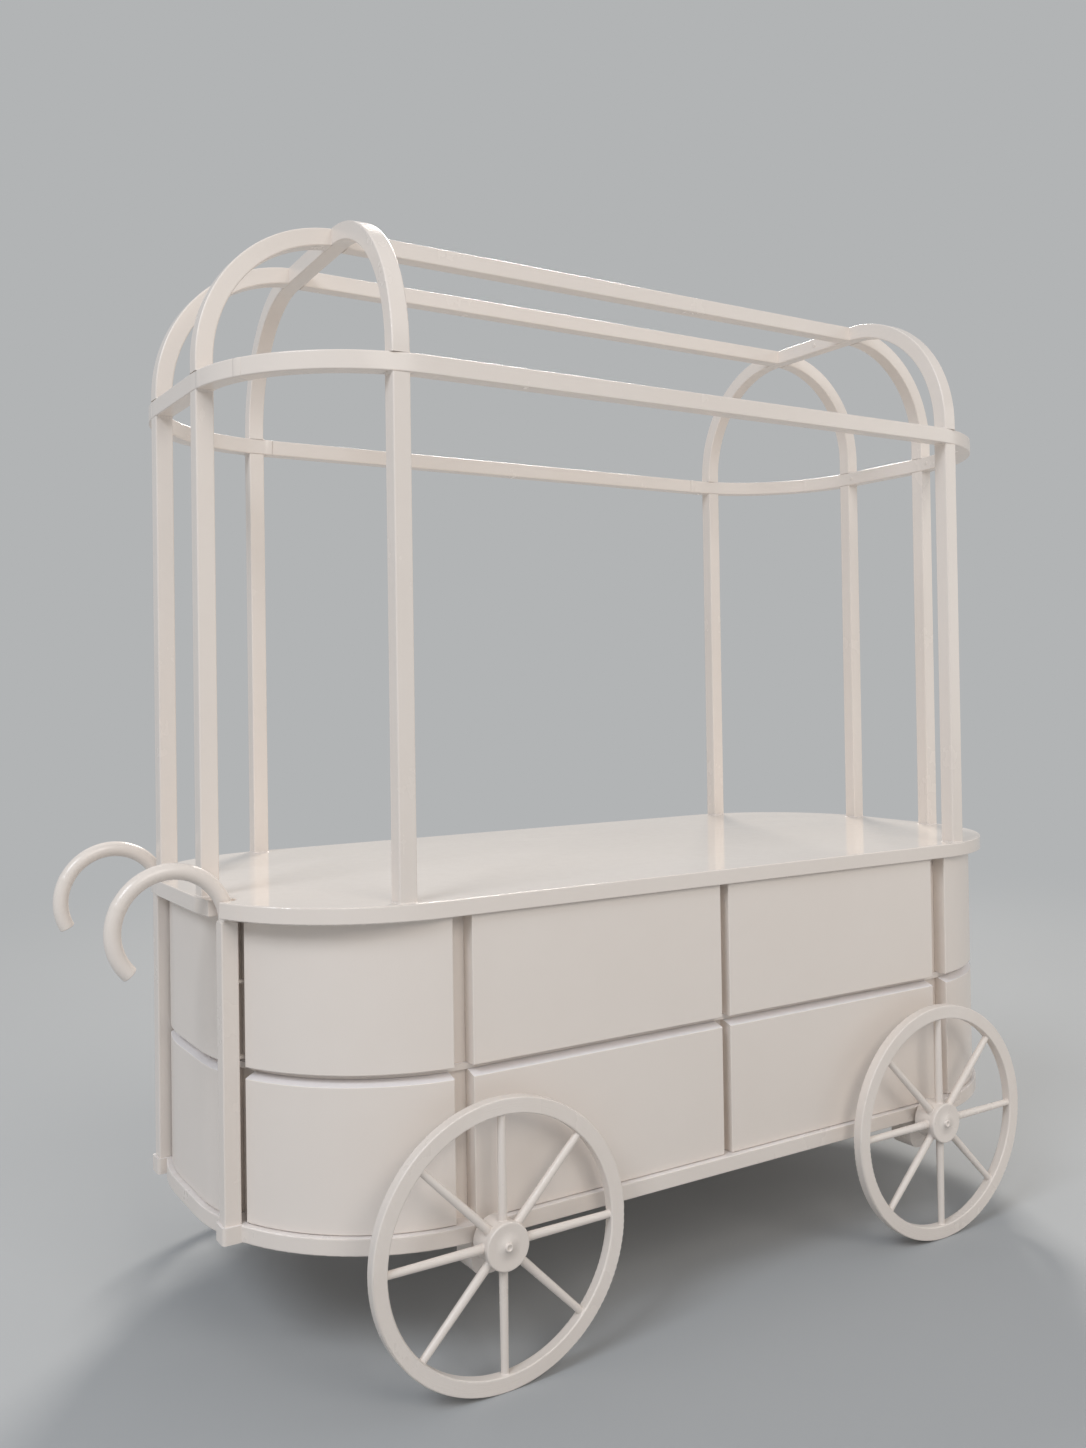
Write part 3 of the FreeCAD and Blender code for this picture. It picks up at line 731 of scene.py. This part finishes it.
def painted(name, patch=2.0, stipple_scale=420.0, stipple=0.4, wave_scale=7.0, wave=0.6,
            depth=0.0004, shiny=0.25, dull=0.36, dust=0.20, sky_light_paint=0.0):
    """White paint: two tones, painted paler and cooler where it looks up as painted sky light, and dusty
    there, to Base Color, handling to Roughness, and the skin to a Bump of the given depth."""
    material = bpy.data.materials.new(name)
    material.use_nodes = True
    tree = material.node_tree
    shader = tree.nodes["Principled BSDF"]
    where = add(tree, "TexCoord").outputs["Object"]
    tone = use_group(tree, tones, Vector=where, Light=WARM_WHITE, Deep=DEEP_WHITE, Patch_Scale=patch)
    worn = use_group(tree, wear, Vector=where, Shiny=shiny, Dull=dull)
    # Painted sky light: faces that look up are painted paler and cooler, in place of the sky's light on
    # them.
    pale = maths(tree, "MULTIPLY", worn.outputs["Upward"], sky_light_paint)
    sky_lit_tone = blend_colours(tree, pale, tone.outputs["Color"], SKY_LIT_WHITE)
    dusty = maths(tree, "MULTIPLY", worn.outputs["Dust"], dust)
    feed(tree, shader.inputs["Base Color"], blend_colours(tree, dusty, sky_lit_tone, DUST))
    feed(tree, shader.inputs["Roughness"], worn.outputs["Roughness"])
    surface = use_group(tree, skin, Vector=where, Stipple_Scale=stipple_scale, Stipple=stipple,
                        Wave_Scale=wave_scale, Wave=wave)
    bump = add(tree, "Bump", Height=surface.outputs["Height"], Strength=1.0, Distance=depth)
    feed(tree, shader.inputs["Normal"], bump.outputs["Normal"])
    shader.inputs["IOR"].default_value = PAINT_IOR
    return material


# The cabinet and the base board get painted sky light on the faces that look up.
cabinet_white = painted("rolled_cabinet_white", patch=1.3, stipple_scale=520.0, stipple=0.30,
                        wave_scale=2.2, wave=1.0, shiny=0.30, dull=0.36, dust=0.04, sky_light_paint=0.85)
counter_white = painted("counter_lacquer", patch=1.1, stipple_scale=260.0, stipple=0.04,
                        wave_scale=3.0, wave=1.0, shiny=0.03, dull=0.10, dust=0.10)
frame_white = painted("sprayed_frame_white", patch=1.8, stipple_scale=640.0, stipple=0.22,
                      wave_scale=9.0, wave=0.7, depth=0.0003, shiny=0.18, dull=0.28, dust=0.08)
board_white = painted("base_board_white", patch=2.2, stipple_scale=420.0, stipple=0.40,
                      wave_scale=5.0, wave=1.0, dust=0.20, sky_light_paint=0.5)
print("finishes", [m.name for m in (cabinet_white, counter_white, frame_white, board_white)])

# %% [markdown]
# ## Grain that follows a wheel
#
# Brush strokes on a wheel run round the rim and along each spoke. Plain object coordinates can't
# do that, so a group turns them into wheel coordinates: distance from the middle, and angle times
# a length. Noise that is squeezed along one of the two gives lines along the other. Each wheel's
# middle is the group's input, because all four wheels share it.

# %% Wheel coordinates as a node group
wheelwise, gin, gout = new_group(
    "round_the_wheel",
    [("Vector", "Vector", None), ("Middle", "Vector", (0, 0, 0)), ("Outward", "Float", 1.0),
     ("Round", "Float", 1.0)],
    [("Vector", "Vector")])
offset = add(wheelwise, "VectorMath", operation="SUBTRACT")
feed(wheelwise, offset.inputs[0], gin.outputs["Vector"])
feed(wheelwise, offset.inputs[1], gin.outputs["Middle"])
parts = add(wheelwise, "SeparateXYZ", Vector=offset.outputs[0])
across, deep_in, up = (parts.outputs[k] for k in range(3))
reach = maths(wheelwise, "SQRT", weighted(wheelwise, across, across, up, up))
angle = maths(wheelwise, "ARCTAN2", across, up)
joined = add(wheelwise, "CombineXYZ",
             X=maths(wheelwise, "MULTIPLY", reach, gin.outputs["Outward"]),
             Y=maths(wheelwise, "MULTIPLY", angle, gin.outputs["Round"]),
             Z=maths(wheelwise, "MULTIPLY", deep_in, gin.outputs["Outward"]))
wheelwise.links.new(joined.outputs[0], gout.inputs["Vector"])
print("group", wheelwise.name, "nodes", len(wheelwise.nodes))

# %% [markdown]
# A rim's strokes are fine across and long round, so its noise is cut finely outwards and coarsely
# round. A spoke's are the other way about. A wheel carries no dust, because dust lies on faces
# that look up, and those change as the wheel turns.

# %% Brushed paint for each wheel
BRUSHED_DEPTH = 0.0005


def brushed(name, middle, outward, round_):
    """Painted wood whose strokes follow the wheel: outward and round_ say how finely each way is cut."""
    material = painted(name, patch=6.0, stipple=0.8, stipple_scale=1.0, wave=0.5, wave_scale=0.12,
                       depth=BRUSHED_DEPTH, shiny=0.24, dull=0.38, dust=0.0)
    tree = material.node_tree
    where = next(n for n in tree.nodes if n.bl_idname == "ShaderNodeTexCoord").outputs["Object"]
    groups = [n for n in tree.nodes if n.bl_idname == "ShaderNodeGroup"]
    surface = next(n for n in groups if n.node_tree == skin)
    wound = use_group(tree, wheelwise, Vector=where, Middle=middle, Outward=outward, Round=round_)
    tree.links.new(wound.outputs["Vector"], surface.inputs["Vector"])
    return material


wheel_finishes = {}
for wheel, middle in wheels.items():
    centre = tuple(float(v) for v in middle)
    wheel_finishes[wheel] = [brushed(wheel + "_rim_brushed", centre, outward=900.0, round_=6.0),
                             brushed(wheel + "_spokes_brushed", centre, outward=14.0, round_=160.0),
                             brushed(wheel + "_hub_brushed", centre, outward=700.0, round_=5.0)]
print("wheel finishes", sum(len(finishes) for finishes in wheel_finishes.values()))

# %% [markdown]
# The stub axles show only between a hub and the base board. They are bare turned steel, so their
# marks are rings: noise squeezed along the axle, which lies along Y.

# %% Turned steel for the axles
steel = bpy.data.materials.new("turned_axle_steel")
steel.use_nodes = True
tree = steel.node_tree
shader = tree.nodes["Principled BSDF"]
where = add(tree, "TexCoord").outputs["Object"]
lathe = noise(tree, add(tree, "Mapping", Vector=where, Scale=(40.0, 900.0, 40.0)).outputs[0], 1.0, 3.0)
steel_tone = blend_colours(tree, lathe, (0.42, 0.41, 0.40, 1), (0.62, 0.61, 0.60, 1))
feed(tree, shader.inputs["Base Color"], steel_tone)
feed(tree, shader.inputs["Roughness"], remap(tree, lathe, 0.3, 0.7, 0.28, 0.5))
rings = add(tree, "Bump", Height=lathe, Strength=1.0, Distance=0.0002)
feed(tree, shader.inputs["Normal"], rings.outputs["Normal"])
shader.inputs["Metallic"].default_value = 1.0
print("steel nodes", len(tree.nodes))

# %% [markdown]
# Each solid and each new piece now gets its finish by name. The last line lists any solid that was
# forgotten, because one bare board would spoil the picture.

# %% Every solid gets its finish
def dress(names, material):
    """The material on every slot of the named solids or new pieces."""
    for name in names:
        item = nodes.get(name) or bpy.data.objects[name]
        if not item.material_slots:
            item.data.materials.append(material)
        for slot in item.material_slots:
            slot.material = material
    print(material.name, "on", len(names))


fascia = [n for n in nodes if n.endswith(("_panels", "_corners"))]
dress(fascia + ["cabinet_wall", "middle_band"], cabinet_white)
dress(["base_board", "axle_blocks"], board_white)
dress(["worktop"], counter_white)
dress(["stub_axles"], steel)
TUBE_ENDINGS = ("_posts", "_hoop", "_arches", "_bow", "_rail", "_hook", "_handle_post")
tubes = [n for n in nodes if n.endswith(TUBE_ENDINGS)]
dress(tubes + ["handle_spacers"] + [b.name for b in beads], frame_white)
for wheel, (rim_finish, spoke_finish, hub_finish) in wheel_finishes.items():
    dress([wheel + "_rim"], rim_finish)
    dress([wheel + "_spokes", wheel + "_spoke_collars"], spoke_finish)
    dress([wheel + "_hub", wheel + "_hub_cap", wheel + "_cap"], hub_finish)
bare = [n for n, item in nodes.items()
        if not item.material_slots or item.material_slots[0].material is None]
print("solids with no finish", bare)

# %% [markdown]
# ## The floor
#
# A white object needs a ground that is pale, but darker than itself, or its edges are lost. The
# floor is a disc of plain grey. It fades with distance into the background's own colour, so there
# is no horizon, from whichever side the cart is looked at.

# %% A pale floor that fades into the background
PALE = (0.445, 0.456, 0.462, 1)
GROUND = (0.425, 0.435, 0.441, 1)
FADE_FROM = 1.6
FADE_TO = 7.5
FLOOR_RINGS = (0.0, 2.0, 4.0, 8.0, 16.0, 60.0)
floor_mesh = bpy.data.meshes.new("floor")
reach = np.array(FLOOR_RINGS)[:, None]
turn = np.linspace(0, 2 * np.pi, 64, endpoint=False)[None, :]
disc = np.stack([reach * np.cos(turn), reach * np.sin(turn), 0 * reach * turn], axis=-1)
floor_faces = sheet_faces(*disc.shape[:2], False)
floor_mesh.from_pydata(disc.reshape(-1, 3).tolist(), [], floor_faces.tolist())
floor = bpy.data.objects.new("floor", floor_mesh)
bpy.context.scene.collection.objects.link(floor)
floor_paint = bpy.data.materials.new("pale_floor")
floor_paint.use_nodes = True
tree = floor_paint.node_tree
tree.nodes.clear()
away = add(tree, "VectorMath", operation="LENGTH")
feed(tree, away.inputs[0], add(tree, "TexCoord").outputs["Object"])
fade = add(tree, "MapRange", interpolation_type="SMOOTHERSTEP", Value=away.outputs["Value"],
           From_Min=FADE_FROM, From_Max=FADE_TO)
blend = add(tree, "MixShader")
feed(tree, blend.inputs[0], fade.outputs["Result"])
feed(tree, blend.inputs[1], add(tree, "BsdfDiffuse", Color=GROUND).outputs[0])
feed(tree, blend.inputs[2], add(tree, "Emission", Color=PALE, Strength=1.0).outputs[0])
feed(tree, add(tree, "OutputMaterial").inputs["Surface"], blend.outputs[0])
floor_mesh.materials.append(floor_paint)
print("floor faces", len(floor_faces))

# %% [markdown]
# ## The sky
#
# An even sky opens every shadow. The pale colour behind the cart is seen by the camera and in
# reflections, and lights nothing. The light of the sky is set apart from it, so the two can be
# balanced on their own.

# %% Background seen, and sky that lights
SKY_LIGHT = 0.42
SKY_TINT = (0.93, 0.96, 1.0, 1)
world = bpy.data.worlds.new("studio")
world.use_nodes = True
bpy.context.scene.world = world
tree = world.node_tree
tree.nodes.clear()
path = add(tree, "LightPath")
seen = maths(tree, "MAXIMUM", path.outputs["Is Camera Ray"], path.outputs["Is Glossy Ray"])
seen = maths(tree, "MAXIMUM", seen, path.outputs["Is Transmission Ray"])
choose = add(tree, "MixShader")
feed(tree, choose.inputs[0], seen)
feed(tree, choose.inputs[1], add(tree, "Background", Color=SKY_TINT, Strength=SKY_LIGHT).outputs[0])
feed(tree, choose.inputs[2], add(tree, "Background", Color=PALE, Strength=1.0).outputs[0])
feed(tree, add(tree, "OutputWorld").inputs["Surface"], choose.outputs[0])
print("sky light", SKY_LIGHT)

# %% [markdown]
# ## The lamps
#
# White needs soft light from a clear direction. A broad warm lamp in front, about a third of the
# way up the sky, reaches the sloping ledge between the panels. A cooler one high on the left
# gives the form, and a weak low one on the right opens the last shadows. A strong warm lamp behind
# draws light edges on the tubes. The high ones stand high enough that the counter doesn't mirror
# them to an eye at a person's height.

# %% Soft lamps
def soft_lamp(name, place, target, wide, watts, colour):
    """A square lamp whose -Z looks at the target."""
    data = bpy.data.lights.new(name, "AREA")
    data.shape = "SQUARE"
    data.size = wide
    data.energy = watts
    data.color = colour
    lamp = bpy.data.objects.new(name, data)
    bpy.context.scene.collection.objects.link(lamp)
    back = np.array(place, dtype=float) - np.array(target, dtype=float)
    back /= np.linalg.norm(back)
    side = np.cross(Z, back)
    side /= np.linalg.norm(side)
    pose = np.eye(4)
    pose[:3, 0], pose[:3, 1], pose[:3, 2], pose[:3, 3] = side, np.cross(back, side), back, place
    lamp.matrix_world = pose.T.tolist()
    print(name, watts, "W at", place)


soft_lamp("front", place=(-0.6, -7.8, 6.0), target=(0, 0, 0.6), wide=4.2, watts=230.0,
          colour=(1.0, 0.945, 0.885))
soft_lamp("left", place=(-6.4, -3.0, 6.6), target=(0, 0, 0.9), wide=3.0, watts=300.0,
          colour=(0.87, 0.925, 1.0))
soft_lamp("low_right", place=(4.8, -3.0, 2.2), target=(0, 0, 1.0), wide=3.0, watts=30.0,
          colour=(1.0, 0.96, 0.91))
soft_lamp("behind", place=(4.6, 6.2, 7.6), target=(0, 0, 1.2), wide=2.4, watts=680.0,
          colour=(1.0, 0.95, 0.89))
